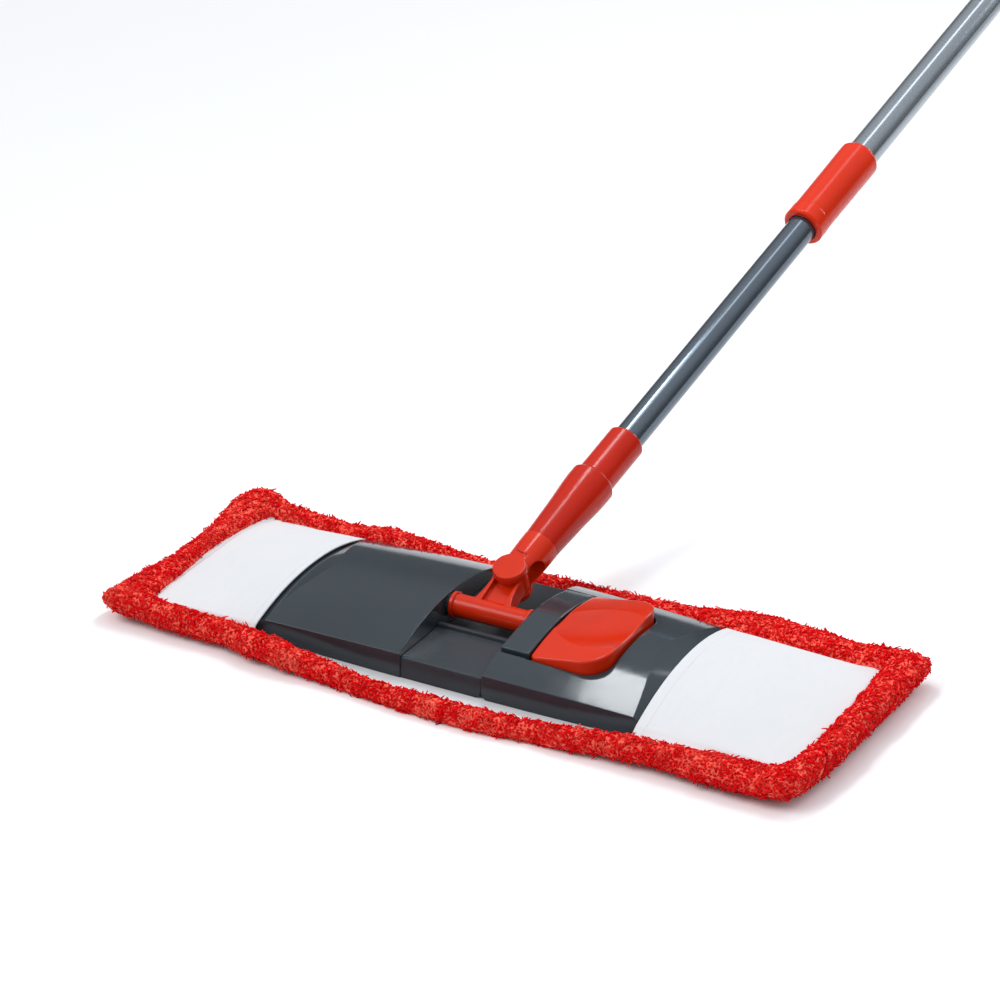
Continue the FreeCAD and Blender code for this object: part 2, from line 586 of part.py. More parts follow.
def lock_collar():
    s, e = COLLAR_START, COLLAR_END
    profile = [(LOWER_R + 0.5, s), (COLLAR_R - 1.2, s), (COLLAR_R, s + 1.4), (COLLAR_R, s + 10.5),
               (COLLAR_R - 0.7, s + 11.5), (COLLAR_R - 0.4, s + 14), (COLLAR_R - 0.2, s + 50),
               (COLLAR_R, e - 10), (COLLAR_R, e - 2), (COLLAR_R - 1.2, e), (UPPER_R + 0.08, e),
               (UPPER_R + 0.08, UPPER_START + 2), (12.1, UPPER_START + 0.5), (12.1, s + 8),
               (LOWER_R + 0.5, s + 4)]
    return on_handle(turned(profile))


def upper_tube():
    return on_handle(tube_z(UPPER_START, UPPER_END, UPPER_R, UPPER_R - UPPER_WALL))


def grip():
    s, e, r = GRIP_START, UPPER_END + 4, GRIP_R
    profile = [(UPPER_R + RUN, s), (r - 1.2, s), (r, s + 2.5), (r, e - 2), (r - 0.8, e), (UPPER_R + RUN, e)]
    body = turned(profile)
    for k in range(8):
        z = s + 14 + 12.0 * k
        body = body.cut(tube_z(z, z + 2.4, r + 2, r - 0.7))
    return on_handle(body)


def hanger_cap():
    s, e = UPPER_END, CAP_END
    plug = rod_z(s - 24, s + 6, UPPER_R - UPPER_WALL - 0.05, 0, 0)
    collar = turned([(0, s + 4.3), (GRIP_R, s + 4.3), (GRIP_R, s + 10), (GRIP_R - 3, s + 16), (0, s + 16)])
    eye = rod_y(-5.0, 5.0, 14.0, 0, e - 14.0)
    web = box(-10, 10, -5.0, 5.0, s + 10, e - 14)
    body = plug.multiFuse([collar, web, eye])
    body = body.cut(rod_y(-20, 20, HANG_R, 0, e - 14.0))
    body = soften(body, 1.2, lambda k: k.BoundBox.ZMin > s + 22 and abs(abs(k.CenterOfMass.y) - 5) < 0.01
                  and k.Length > 50)
    return on_handle(one_solid(body))


nodes = {
    "pile_left": pile(-1),
    "pile_right": pile(1),
    "backing_left": backing(-1),
    "backing_right": backing(1),
    "pocket_left": pocket(-1),
    "pocket_right": pocket(1),
    "wing_cover_left": wing_cover_left(),
    "wing_cover_right": wing_cover_right(),
    "wing_base_left": wing_base(-1),
    "wing_base_right": wing_base(1),
    "hub_block": hub_block(),
    "axle_bridge": axle_bridge(),
    "axle_rod": axle_rod(),
    "fold_pin_front": fold_pin(-1),
    "fold_pin_back": fold_pin(1),
    "pedal": pedal(),
    "pedal_pin": pedal_pin(),
    "pedal_spring": pedal_spring(),
    "yoke": yoke(),
    "swivel_pin": swivel_pin(),
    "swivel_fork": swivel_fork(),
    "handle_socket": handle_socket(),
    "handle_ferrule": handle_ferrule(),
    "lower_tube": lower_tube(),
    "tube_plug": tube_plug(),
    "collet": collet(),
    "tube_bush": tube_bush(),
    "lock_collar": lock_collar(),
    "upper_tube": upper_tube(),
    "grip": grip(),
    "hanger_cap": hanger_cap(),
}
for i, (x, y) in enumerate(LEFT_SCREWS):
    nodes["screw_left_%d" % (i + 1)] = base_screw(x, y)
for i, (x, y) in enumerate(RIGHT_SCREWS):
    nodes["screw_right_%d" % (i + 1)] = base_screw(x, y)

for name, shape in nodes.items():
    shape.exportStep("parts/" + name + ".step")
    b = shape.BoundBox
    print("%-18s solids %d valid %s vol %8.1f  x %.1f %.1f y %.1f %.1f z %.1f %.1f" % (
        name, len(shape.Solids), shape.isValid(), shape.Volume / 1000,
        b.XMin, b.XMax, b.YMin, b.YMax, b.ZMin, b.ZMax))
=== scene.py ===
import math

import bpy
import numpy as np
from mathutils import Matrix, Vector, noise


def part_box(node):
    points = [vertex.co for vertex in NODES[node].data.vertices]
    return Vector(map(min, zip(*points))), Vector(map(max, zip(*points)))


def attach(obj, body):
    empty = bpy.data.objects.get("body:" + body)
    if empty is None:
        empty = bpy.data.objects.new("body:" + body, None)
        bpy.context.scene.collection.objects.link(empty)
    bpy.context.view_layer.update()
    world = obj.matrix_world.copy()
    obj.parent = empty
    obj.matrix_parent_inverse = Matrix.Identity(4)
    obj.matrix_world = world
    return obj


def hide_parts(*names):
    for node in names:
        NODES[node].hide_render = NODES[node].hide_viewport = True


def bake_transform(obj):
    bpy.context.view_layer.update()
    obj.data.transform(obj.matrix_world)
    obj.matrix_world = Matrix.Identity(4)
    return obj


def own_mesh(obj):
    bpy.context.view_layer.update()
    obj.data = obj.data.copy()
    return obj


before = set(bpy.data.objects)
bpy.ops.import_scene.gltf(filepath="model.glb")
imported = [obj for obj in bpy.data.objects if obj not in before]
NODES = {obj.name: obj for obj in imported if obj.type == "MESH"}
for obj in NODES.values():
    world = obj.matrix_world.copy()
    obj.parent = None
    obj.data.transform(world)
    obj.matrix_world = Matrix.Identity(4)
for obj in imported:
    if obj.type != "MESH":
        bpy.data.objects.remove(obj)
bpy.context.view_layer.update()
MM = 0.001

# ---- camera, lights and floor ---------------------------------------------------------
CAMERA_AZIMUTH = math.radians(27.92)
CAMERA_ELEVATION = math.radians(26.1)
CAMERA_TARGET = Vector((-0.0988, 0.1781, 0.0))
CAMERA_DISTANCE = 1.7522
CAMERA_LENS = 96.865
SENSOR_WIDTH = 36.0


def add_camera():
    data = bpy.data.cameras.new("camera")
    data.lens = CAMERA_LENS
    data.sensor_width = SENSOR_WIDTH
    data.clip_start, data.clip_end = 0.05, 100.0
    camera = bpy.data.objects.new("camera", data)
    flat = math.cos(CAMERA_ELEVATION)
    back = Vector((math.sin(CAMERA_AZIMUTH) * flat, -math.cos(CAMERA_AZIMUTH) * flat,
                   math.sin(CAMERA_ELEVATION)))
    camera.location = CAMERA_TARGET + back * CAMERA_DISTANCE
    camera.rotation_euler = (-back).to_track_quat("-Z", "Y").to_euler()
    bpy.context.scene.collection.objects.link(camera)
    bpy.context.scene.camera = camera


UP = (0.0, 0.0, 1.0)
HANDLE_DIRECTION = (0.149, 0.921, 0.36)
LAMP_TINT = (0.93, 0.965, 1.0)
# Name, place, point it faces, sides in metres, watts, and the direction of its second side.
LAMPS = (
    ("fill", (1.7, -1.0, 1.1), (0.0, 0.1, 0.0), (1.0, 1.0), 3.2, UP),
    ("tube_strip", (0.062, 0.776, 1.119), (0.162, 1.024, 0.443), (0.16, 1.0), 1.5,
     HANDLE_DIRECTION),
    ("right_wing_glint", (-0.095, 0.225, 0.620), (0.122, -0.045, 0.024), (0.10, 0.27), 1.4,
     (0.0, 1.0, -0.4)),
    ("rim", (0.66, 1.19, 0.66), (0.0, 0.0, 0.03), (0.25, 0.5), 4.0, UP),
)
KEY_ENERGY, KEY_ANGLE = 1.15, math.radians(33.0)
KEY_FROM = Vector((-1.55, -1.05, 1.85))
# Brightness of the sky by height, dark at the horizon and bright overhead.
SKY_STOPS = ((0.0, 0.13), (0.30, 0.22), (0.62, 0.66), (1.0, 1.0))
SKY_TINT = (0.95, 0.98, 1.02)
SKY_STRENGTH = 1.02
BACKDROP = (0.87, 0.89, 0.92, 1.0)


def softbox(name, place, aim, size, power, along):
    """Area lamp that faces aim, with its second side as near as it can be to along."""
    data = bpy.data.lights.new(name, "AREA")
    data.shape = "RECTANGLE"
    data.size, data.size_y = size
    data.energy = power
    data.color = LAMP_TINT
    lamp = bpy.data.objects.new(name, data)
    back = (Vector(place) - Vector(aim)).normalized()
    tall = (Vector(along) - back * back.dot(Vector(along))).normalized()
    lamp.rotation_euler = Matrix((tall.cross(back), tall, back)).transposed().to_euler()
    lamp.location = place
    lamp.visible_camera = False
    bpy.context.scene.collection.objects.link(lamp)


def add_sky():
    """A sky that lights the scene, behind a plain pale backdrop that only the camera sees."""
    world = bpy.data.worlds.new("studio")
    world.use_nodes = True
    nodes, links = world.node_tree.nodes, world.node_tree.links
    split = nodes.new("ShaderNodeSeparateXYZ")
    links.new(nodes.new("ShaderNodeTexCoord").outputs["Generated"], split.inputs[0])
    sky = nodes.new("ShaderNodeValToRGB")
    while len(sky.color_ramp.elements) < len(SKY_STOPS):
        sky.color_ramp.elements.new(0.5)
    for element, (height, bright) in zip(sky.color_ramp.elements, SKY_STOPS):
        element.position = height
        element.color = (*(bright * tint for tint in SKY_TINT), 1.0)
    links.new(split.outputs["Z"], sky.inputs["Fac"])
    links.new(sky.outputs["Color"], nodes["Background"].inputs["Color"])
    nodes["Background"].inputs["Strength"].default_value = SKY_STRENGTH
    backdrop = nodes.new("ShaderNodeBackground")
    backdrop.inputs["Color"].default_value = BACKDROP
    seen = nodes.new("ShaderNodeMixShader")
    links.new(nodes.new("ShaderNodeLightPath").outputs["Is Camera Ray"], seen.inputs["Fac"])
    links.new(nodes["Background"].outputs["Background"], seen.inputs[1])
    links.new(backdrop.outputs["Background"], seen.inputs[2])
    links.new(seen.outputs["Shader"], nodes["World Output"].inputs["Surface"])
    bpy.context.scene.world = world


def add_studio():
    add_sky()
    key = bpy.data.lights.new("key", "SUN")
    key.energy, key.angle = KEY_ENERGY, KEY_ANGLE
    lamp = bpy.data.objects.new("key", key)
    lamp.rotation_euler = KEY_FROM.to_track_quat("Z", "Y").to_euler()
    bpy.context.scene.collection.objects.link(lamp)
    for row in LAMPS:
        softbox(*row)
    bpy.context.scene.view_settings.view_transform = "Standard"
    bpy.context.scene.view_settings.look = "None"


# ---- node materials -------------------------------------------------------------------
class Finish:
    """Builds one node material around a Principled shader."""

    def __init__(self, name, colour, roughness, **constants):
        self.material = bpy.data.materials.new(name)
        self.material.use_nodes = True
        self.nodes = self.material.node_tree.nodes
        self.shader = self.nodes["Principled BSDF"]
        self.shader.inputs["Base Color"].default_value = (*colour, 1.0)
        self.shader.inputs["Roughness"].default_value = roughness
        for socket, value in constants.items():
            self.shader.inputs[socket.replace("_", " ")].default_value = value
        self.place = self.nodes.new("ShaderNodeTexCoord").outputs["Object"]
        self.normal = None

    def link(self, source, target):
        self.material.node_tree.links.new(source, target)

    def noise(self, scale, detail=3.0, stretch=(1.0, 1.0, 1.0), harsh=0.5):
        mapping = self.nodes.new("ShaderNodeMapping")
        mapping.inputs["Scale"].default_value = stretch
        self.link(self.place, mapping.inputs["Vector"])
        texture = self.nodes.new("ShaderNodeTexNoise")
        texture.inputs["Scale"].default_value = scale
        texture.inputs["Detail"].default_value = detail
        texture.inputs["Roughness"].default_value = harsh
        self.link(mapping.outputs["Vector"], texture.inputs["Vector"])
        return texture.outputs["Fac"]

    def cells(self, scale):
        texture = self.nodes.new("ShaderNodeTexVoronoi")
        texture.inputs["Scale"].default_value = scale
        self.link(self.place, texture.inputs["Vector"])
        return texture.outputs["Distance"]

    def bands(self, scale, direction):
        texture = self.nodes.new("ShaderNodeTexWave")
        texture.bands_direction = direction
        texture.inputs["Scale"].default_value = scale
        texture.inputs["Distortion"].default_value = 0.6
        self.link(self.place, texture.inputs["Vector"])
        return texture.outputs["Fac"]

    def remap(self, source, low, high, start=0.0, end=1.0):
        node = self.nodes.new("ShaderNodeMapRange")
        values = (("From Min", start), ("From Max", end), ("To Min", low), ("To Max", high))
        for socket, value in values:
            node.inputs[socket].default_value = value
        self.link(source, node.inputs["Value"])
        return node.outputs["Result"]

    def maths(self, operation, first, second):
        node = self.nodes.new("ShaderNodeMath")
        node.operation = operation
        for socket, value in zip(node.inputs, (first, second)):
            if isinstance(value, (int, float)):
                socket.default_value = value
            else:
                self.link(value, socket)
        return node.outputs["Value"]

    def along_axis(self, axis, low, high, start, end):
        """A value that changes from low to high between two places on one axis."""
        split = self.nodes.new("ShaderNodeSeparateXYZ")
        self.link(self.place, split.inputs[0])
        return self.remap(split.outputs[axis], low, high, start, end)

    def ramp(self, source, stops):
        node = self.nodes.new("ShaderNodeValToRGB")
        points = node.color_ramp.elements
        while len(points) < len(stops):
            points.new(0.5)
        for point, (at, colour) in zip(points, stops):
            point.position = at
            point.color = (*colour, 1.0)
        self.link(source, node.inputs["Fac"])
        return node.outputs["Color"]

    def mix(self, share, first, second):
        node = self.nodes.new("ShaderNodeMix")
        node.data_type = "RGBA"
        self.link(share, node.inputs[0])
        for socket, value in ((node.inputs[6], first), (node.inputs[7], second)):
            if isinstance(value, tuple):
                socket.default_value = (*value, 1.0)
            else:
                self.link(value, socket)
        return node.outputs[2]

    def attribute(self, name):
        node = self.nodes.new("ShaderNodeAttribute")
        node.attribute_name = name
        return node.outputs["Fac"]

    def round_edges(self, radius):
        """Lights the piece as if its edges were rounded, and returns a mask of those edges."""
        bevel = self.nodes.new("ShaderNodeBevel")
        bevel.samples = 6
        bevel.inputs["Radius"].default_value = radius
        self.normal = bevel.outputs["Normal"]
        true_normal = self.nodes.new("ShaderNodeNewGeometry").outputs["True Normal"]
        dot = self.nodes.new("ShaderNodeVectorMath")
        dot.operation = "DOT_PRODUCT"
        self.link(bevel.outputs["Normal"], dot.inputs[0])
        self.link(true_normal, dot.inputs[1])
        return self.remap(dot.outputs["Value"], 1.0, 0.0, 0.80, 0.99)

    def bump(self, height, strength, depth):
        node = self.nodes.new("ShaderNodeBump")
        node.inputs["Strength"].default_value = strength
        node.inputs["Distance"].default_value = depth
        self.link(height, node.inputs["Height"])
        if self.normal is not None:
            self.link(self.normal, node.inputs["Normal"])
        self.normal = node.outputs["Normal"]

    def done(self, colour=None, roughness=None):
        if colour is not None:
            self.link(colour, self.shader.inputs["Base Color"])
        if roughness is not None:
            self.link(roughness, self.shader.inputs["Roughness"])
        if self.normal is not None:
            self.link(self.normal, self.shader.inputs["Normal"])
        return self.material


def scaled(colour, factor):
    return tuple(min(1.0, c * factor) for c in colour)


def moulded(name, colour, gloss, edge=1.5, radius=0.7 * MM, grain=0.06, **constants):
    """Moulded plastic: cloudy colour, fine skin texture, faint scuffs and paler edges."""
    f = Finish(name, colour, gloss, **constants)
    edges = f.round_edges(radius)
    cloud = f.ramp(f.noise(14.0, 4.0), [(0.3, scaled(colour, 0.88)), (0.7, scaled(colour, 1.12))])
    wear = f.maths("MULTIPLY", edges, f.remap(f.noise(120.0, 5.0), 0.0, 0.75, 0.42, 0.62))
    painted = f.mix(wear, cloud, scaled(colour, edge))
    scuffs = f.noise(70.0, 6.0, harsh=0.7)
    rough = f.remap(scuffs, gloss - 0.03, gloss + 0.06, 0.35, 0.75)
    f.bump(f.noise(1500.0, 2.0), grain, 0.03 * MM)
    f.bump(f.noise(22.0, 0.0), 0.05, 0.3 * MM)
    return f.done(painted, rough)


def painted_tube(name, colour, gloss):
    """Metallic lacquer with a fine flake and faint clouds along the tube."""
    f = Finish(name, colour, gloss, Metallic=0.8)
    flake = f.noise(900.0, 1.0)
    tone = f.ramp(flake, [(0.35, scaled(colour, 0.93)), (0.65, scaled(colour, 1.07))])
    cloud = f.remap(f.noise(9.0, 3.0, (1.0, 0.2, 1.0)), 0.0, 0.35)
    rough = f.remap(f.noise(25.0, 3.0), gloss - 0.01, gloss + 0.02, 0.3, 0.7)
    return f.done(f.mix(cloud, tone, scaled(colour, 1.1)), rough)


def brushed(name, colour, roughness):
    """Bare metal with fine drawn lines."""
    f = Finish(name, colour, roughness, Metallic=1.0)
    lines = f.noise(300.0, 3.0, (1.0, 12.0, 12.0))
    f.bump(lines, 0.1, 0.05 * MM)
    tone = f.ramp(lines, [(0.3, scaled(colour, 0.8)), (0.7, colour)])
    return f.done(tone, f.remap(lines, roughness - 0.08, roughness + 0.1))


def soft_rubber(name, colour):
    """Matt rubber with pores and dust on its edges."""
    f = Finish(name, colour, 0.62)
    edges = f.round_edges(0.5 * MM)
    pores = f.cells(1100.0)
    dust = f.noise(22.0, 5.0)
    tone = f.mix(f.maths("MULTIPLY", edges, dust), scaled(colour, 0.95), scaled(colour, 1.7))
    f.bump(pores, 0.25, 0.12 * MM)
    return f.done(tone, f.remap(dust, 0.52, 0.74, 0.3, 0.7))


def woven(name, colour):
    """White polyester cloth with a fine plain weave."""
    f = Finish(name, colour, 0.82, Sheen_Weight=0.25, Sheen_Roughness=0.4)
    weave = f.maths("MULTIPLY", f.bands(330.0, "X"), f.bands(330.0, "Y"))
    slub = f.noise(260.0, 4.0, (1.0, 0.25, 1.0))
    cloud = f.noise(11.0, 3.0)
    tone = f.ramp(cloud, [(0.3, scaled(colour, 0.965)), (0.7, colour)])
    thread = f.mix(f.remap(slub, 0.0, 0.22, 0.45, 0.75), tone, scaled(colour, 0.9))
    f.bump(weave, 0.18, 0.12 * MM)
    f.bump(slub, 0.12, 0.15 * MM)
    return f.done(thread, f.remap(slub, 0.75, 0.9))


PILE_DEEP = (0.40, 0.0003, 0.0014)
PILE_RED = (0.72, 0.0012, 0.0036)
# Pale pink that stands in for the sheen on the fibres: a painted highlight.
PILE_PAINTED_SHEEN = (0.92, 0.1500, 0.1000)


def pile_ground(name):
    """The matted root of the pile, under its tufts."""
    f = Finish(name, PILE_RED, 0.9, Specular_IOR_Level=0.1)
    curls = f.cells(620.0)
    clumps = f.noise(170.0, 3.0)
    both = f.maths("ADD", f.maths("MULTIPLY", curls, 0.9), f.maths("MULTIPLY", clumps, 0.5))
    # The palest clumps of the root take the painted sheen colour: painted highlights.
    tone = f.ramp(both,
                  [(0.30, PILE_DEEP), (0.55, PILE_RED), (0.92, PILE_PAINTED_SHEEN)])
    f.bump(curls, 0.7, 0.9 * MM)
    f.bump(f.noise(1400.0, 2.0), 0.4, 0.3 * MM)
    return f.done(tone, f.remap(clumps, 0.8, 0.95))


def pile_tufts(name):
    """Microfibre tufts: deep at the root, brighter along the fibre, some tips painted pale as a
    highlight of fibre sheen.
    """
    f = Finish(name, PILE_RED, 0.6, Specular_IOR_Level=0.12)
    along = f.attribute("tip")
    tone = f.attribute("tone")
    body = f.ramp(along, [(0.0, PILE_DEEP), (0.45, PILE_RED), (1.0, scaled(PILE_RED, 1.25))])
    # Painted highlight: the share of pale sheen near the tips of some tufts.
    pale = f.maths("MULTIPLY", f.remap(tone, 0.0, 1.0, 0.55, 1.0),
                   f.remap(along, 0.2, 1.0, 0.1, 0.9))
    patch = f.remap(f.noise(60.0, 2.0), 0.35, 1.0, 0.35, 0.65)
    # Painted highlight: more pale sheen on the lit front fibres and less at the shaded right end,
    # between these two places in metres.
    lit_front = f.maths("MULTIPLY", f.along_axis("Y", 1.35, 0.42, -0.088, -0.060),
                   f.along_axis("X", 1.0, 0.3, 0.08, 0.18))
    pale = f.maths("MULTIPLY", pale, f.maths("MULTIPLY", patch, lit_front))
    colour = f.mix(pale, body, PILE_PAINTED_SHEEN)
    strands = f.noise(2200.0, 2.0)
    f.bump(strands, 0.3, 0.1 * MM)
    return f.done(colour, f.remap(strands, 0.7, 0.9))


# ---- mesh helpers ---------------------------------------------------------------------
def add_piece(name, points, faces, material, slot):
    mesh = bpy.data.meshes.new(name)
    mesh.from_pydata(np.asarray(points).tolist(), [], faces)
    mesh.materials.append(material)
    mesh.polygons.foreach_set("use_smooth", np.full(len(mesh.polygons), True))
    mesh.update()
    piece = bpy.data.objects.new(name, mesh)
    bpy.context.scene.collection.objects.link(piece)
    return piece


def set_floats(piece, name, values):
    """Gives each point of a piece a number that its finish can read."""
    attribute = piece.data.attributes.new(name, "FLOAT", "POINT")
    attribute.data.foreach_set("value", np.asarray(values, np.float32))


def smoothstep(value, start, end):
    t = np.clip((value - start) / (end - start), 0.0, 1.0)
    return t * t * (3.0 - 2.0 * t)


def rough_field(points, scale, seed):
    """Perlin noise from -1 to 1 at each point."""
    shift = Vector((seed * 7.3, seed * 3.1, seed * 1.7))
    return np.array([noise.noise(Vector(p) * scale + shift) for p in points])


def through(controls, count):
    """A smooth curve through 2-D control points, as count evenly spaced points."""
    ends = np.vstack([2 * controls[0] - controls[1], controls, 2 * controls[-1] - controls[-2]])
    dense = []
    for i in range(len(controls) - 1):
        p0, p1, p2, p3 = ends[i:i + 4]
        for t in np.linspace(0.0, 1.0, 16, endpoint=False):
            dense.append(0.5 * (2 * p1 + (p2 - p0) * t + (2 * p0 - 5 * p1 + 4 * p2 - p3) * t ** 2
                                + (3 * p1 - p0 - 3 * p2 + p3) * t ** 3))
    dense = np.array(dense + [controls[-1]])
    return resampled(dense, count)


def resampled(line, count):
    """The same line as count evenly spaced points."""
    steps = np.linalg.norm(np.diff(line, axis=0), axis=1)
    along = np.concatenate([[0.0], np.cumsum(steps)])
    wanted = np.linspace(0.0, along[-1], count)
    return np.stack([np.interp(wanted, along, line[:, k]) for k in range(line.shape[1])], 1)


def ring_faces(rings, count, first=0):
    """Quads between successive closed rings of count points each."""
    faces = []
    for r in range(rings - 1):
        a, b = first + r * count, first + (r + 1) * count
        for i in range(count):
            j = (i + 1) % count
            faces.append((a + i, a + j, b + j, b + i))
    return faces


def slab(top, thickness):
    """A closed cloth of even thickness under a grid of points, as (points, faces)."""
    rows, cols = top.shape[:2]
    along, across = np.gradient(top, axis=0), np.gradient(top, axis=1)
    normal = np.cross(along, across)
    normal /= np.linalg.norm(normal, axis=2)[..., None]
    normal *= np.sign(normal[..., 2:].mean())
    under = top - normal * np.asarray(thickness)[..., None]
    points = np.concatenate([top.reshape(-1, 3), under.reshape(-1, 3)])
    size = rows * cols
    faces = []
    for r in range(rows - 1):
        for c in range(cols - 1):
            a = r * cols + c
            faces.append((a, a + cols, a + cols + 1, a + 1))
            faces.append((a + size, a + size + 1, a + size + cols + 1, a + size + cols))
    edge = [(0, c) for c in range(cols)] + [(r, cols - 1) for r in range(1, rows)]
    edge += [(rows - 1, c) for c in range(cols - 2, -1, -1)]
    edge += [(r, 0) for r in range(rows - 2, 0, -1)]
    loop = [r * cols + c for r, c in edge]
    for a, b in zip(loop, loop[1:] + loop[:1]):
        faces.append((a, b, b + size, a + size))
    return points, faces


# ---- pad ------------------------------------------------------------------------------
PILE_BOX = (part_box("pile_left")[0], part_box("pile_right")[1])
CLOTH_BOX = (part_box("backing_left")[0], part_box("backing_right")[1])
WING_TIPS = (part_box("wing_cover_left")[0].x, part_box("wing_cover_right")[1].x)
CLOTH_TOP = CLOTH_BOX[1].z
SIDE_POINTS, END_POINTS, CORNER_POINTS = 330, 92, 24
LOOP = 2 * (SIDE_POINTS + END_POINTS) + 4 * CORNER_POINTS
TUFT_REACH = 3.0 * MM
END_RISE = 8.3 * MM
SIDE_RISE = 6.5 * MM
SIDE_RISE_X, SIDE_RISE_Y = (0.045, 0.135), (0.059, 0.067)
CORNER_CURL, CURL_RADIUS, CURL_INSET = 9.0 * MM, 0.025, 14 * MM
PILE_HALF_W, PILE_CORNER = 0.080, 0.008
CLOTH_HALF_W, CLOTH_CORNER, CLOTH_INSET = 0.062, 0.002, 1.5 * MM
SOLE_HEIGHT, LID_HEIGHT = 1.0 * MM, 3.2 * MM

# How the resting pad really lies, in mm: half width in front and behind by x, and reach of
# the left and right end by y. The first four are the pile's outline, the others its inner one.
PILE_FRONT = ((-230, 76), (-190, 77), (-150, 77.5), (-125, 82), (-80, 83), (-40, 85.5), (0, 88.5),
              (25, 88.5), (55, 84), (75, 85), (100, 83), (145, 82), (165, 84.5), (200, 85),
              (230, 84))
PILE_BACK = ((-230, 78), (-200, 78), (-150, 78), (-130, 83.5), (-90, 84), (50, 85), (100, 86),
             (130, 89.5), (160, 88), (180, 84), (205, 82.5), (230, 85))
PILE_LEFT = ((-80, 235), (-40, 229), (0, 224), (35, 226), (60, 229), (72, 224), (80, 219))
PILE_RIGHT = ((-80, 210), (-62, 216), (-33, 221), (0, 224), (27, 227.5), (80, 231))
CLOTH_FRONT = ((-206, 62), (-140, 66), (-50, 75), (0, 76), (60, 74), (110, 71), (150, 69),
               (206, 61))
CLOTH_BACK = ((-206, 63), (-180, 66), (-140, 65), (-60, 72), (40, 72), (120, 64), (190, 62),
              (206, 61))
CLOTH_LEFT = ((-62, 207), (-30, 209), (10, 211), (40, 208), (62, 201))
CLOTH_RIGHT = ((-62, 199), (-45, 203), (0, 206), (62, 208))


def rounded_box(half_l, half_w, corner):
    """Rounded rectangle as a closed loop, anticlockwise from the front left."""
    x = np.linspace(corner - half_l, half_l - corner, SIDE_POINTS, endpoint=False)
    y = np.linspace(corner - half_w, half_w - corner, END_POINTS, endpoint=False)
    turn = np.linspace(-math.pi / 2, 0.0, CORNER_POINTS, endpoint=False)
    ahead, aside = half_l - corner, half_w - corner
    front = np.stack([x, np.full(SIDE_POINTS, -half_w)], 1)
    bend = np.stack([ahead + corner * np.cos(turn), corner * np.sin(turn) - aside], 1)
    right = np.stack([np.full(END_POINTS, half_l), y], 1)
    bend_back = np.stack([ahead - corner * np.sin(turn), aside + corner * np.cos(turn)], 1)
    half = np.concatenate([front, bend, right, bend_back])
    return np.concatenate([half, -half])


def shaped(loop, front, back, left, right):
    """Moves a loop so that its sides follow the four tables."""
    half_l, half_w = loop.max(0)
    x, y = loop.T

    def follow(table, at):
        places, reach = np.array(table, float).T * MM
        smooth = through(np.stack([places, reach], 1), 200)
        return np.interp(at, smooth[:, 0], smooth[:, 1])

    sides = np.where(y < 0, follow(front, x), follow(back, x))
    ends = np.where(x < 0, follow(left, y), follow(right, y))
    near_end = smoothstep(np.abs(x), 0.3 * half_l, half_l)
    return np.stack([x * (1.0 + (ends / half_l - 1.0) * near_end), y * sides / half_w], 1)


def raised(points):
    """Lifts the pad's ends, its long sides next to the pockets, and its curled corner."""
    x, y, z = points.T
    left = smoothstep(-x, -WING_TIPS[0] + 2 * MM, CLOTH_BOX[1].x)
    right = smoothstep(x, WING_TIPS[1] + 2 * MM, CLOTH_BOX[1].x)
    side = smoothstep(np.abs(x), *SIDE_RISE_X) * smoothstep(np.abs(y), *SIDE_RISE_Y)
    lift = np.maximum(END_RISE * (left + right), SIDE_RISE * side)
    share = 0.7 + 0.3 * np.clip(z / (4.0 * MM), 0.0, 1.0)
    away = np.hypot(x + PILE_BOX[1].x - CURL_INSET, y - PILE_HALF_W)
    curl = CORNER_CURL * np.exp(-(away / CURL_RADIUS) ** 2)
    return np.stack([x, y, z + lift * share + curl], 1)


OUTER = shaped(rounded_box(PILE_BOX[1].x - TUFT_REACH, PILE_HALF_W, PILE_CORNER),
               PILE_FRONT, PILE_BACK, PILE_LEFT, PILE_RIGHT)
INNER = shaped(rounded_box(CLOTH_BOX[1].x - CLOTH_INSET, CLOTH_HALF_W, CLOTH_CORNER),
               CLOTH_FRONT, CLOTH_BACK, CLOTH_LEFT, CLOTH_RIGHT)
SPINE_REACH = 0.140


def spine(loop):
    """The nearest point to each point of a loop on the line along the middle of the pad."""
    return np.stack([np.clip(loop[:, 0], -SPINE_REACH, SPINE_REACH), np.zeros(len(loop))], 1)


def in_band(share, height):
    """One ring of the border: share 0 is the outer outline and 1 the inner one."""
    flat = OUTER + (INNER - OUTER) * share
    return np.column_stack([flat, np.full(LOOP, height)])


def in_field(share, height):
    """One ring inside the border: share 0 is the inner outline and 1 the pad's spine."""
    flat = INNER + (spine(INNER) - INNER) * share
    return np.column_stack([flat, np.full(LOOP, height)])


# Section of the border: share of the way from the outer to the inner outline, height in mm.
BORDER = np.array([(0.96, 1.0), (0.72, 0.3), (0.42, 0.0), (0.17, 0.4), (0.03, 2.2), (0.0, 4.8),
                   (0.05, 7.6), (0.19, 9.9), (0.41, 11.2), (0.64, 11.0), (0.84, 9.4), (0.96, 7.0),
                   (1.0, 4.8), (0.97, 3.2)])
BORDER_SPAN = 20.0
BORDER_RINGS, SOLE_RINGS = 30, 44
EDGE_SHARES = (0.0, 0.03, 0.06, 0.09, 0.12, 0.16, 0.20, 0.26)
LID_SHARES = EDGE_SHARES[1:] + (0.34, 0.55, 0.8, 1.0)
CLOTH_SHARES = EDGE_SHARES + tuple(np.linspace(0.32, 0.97, 14))


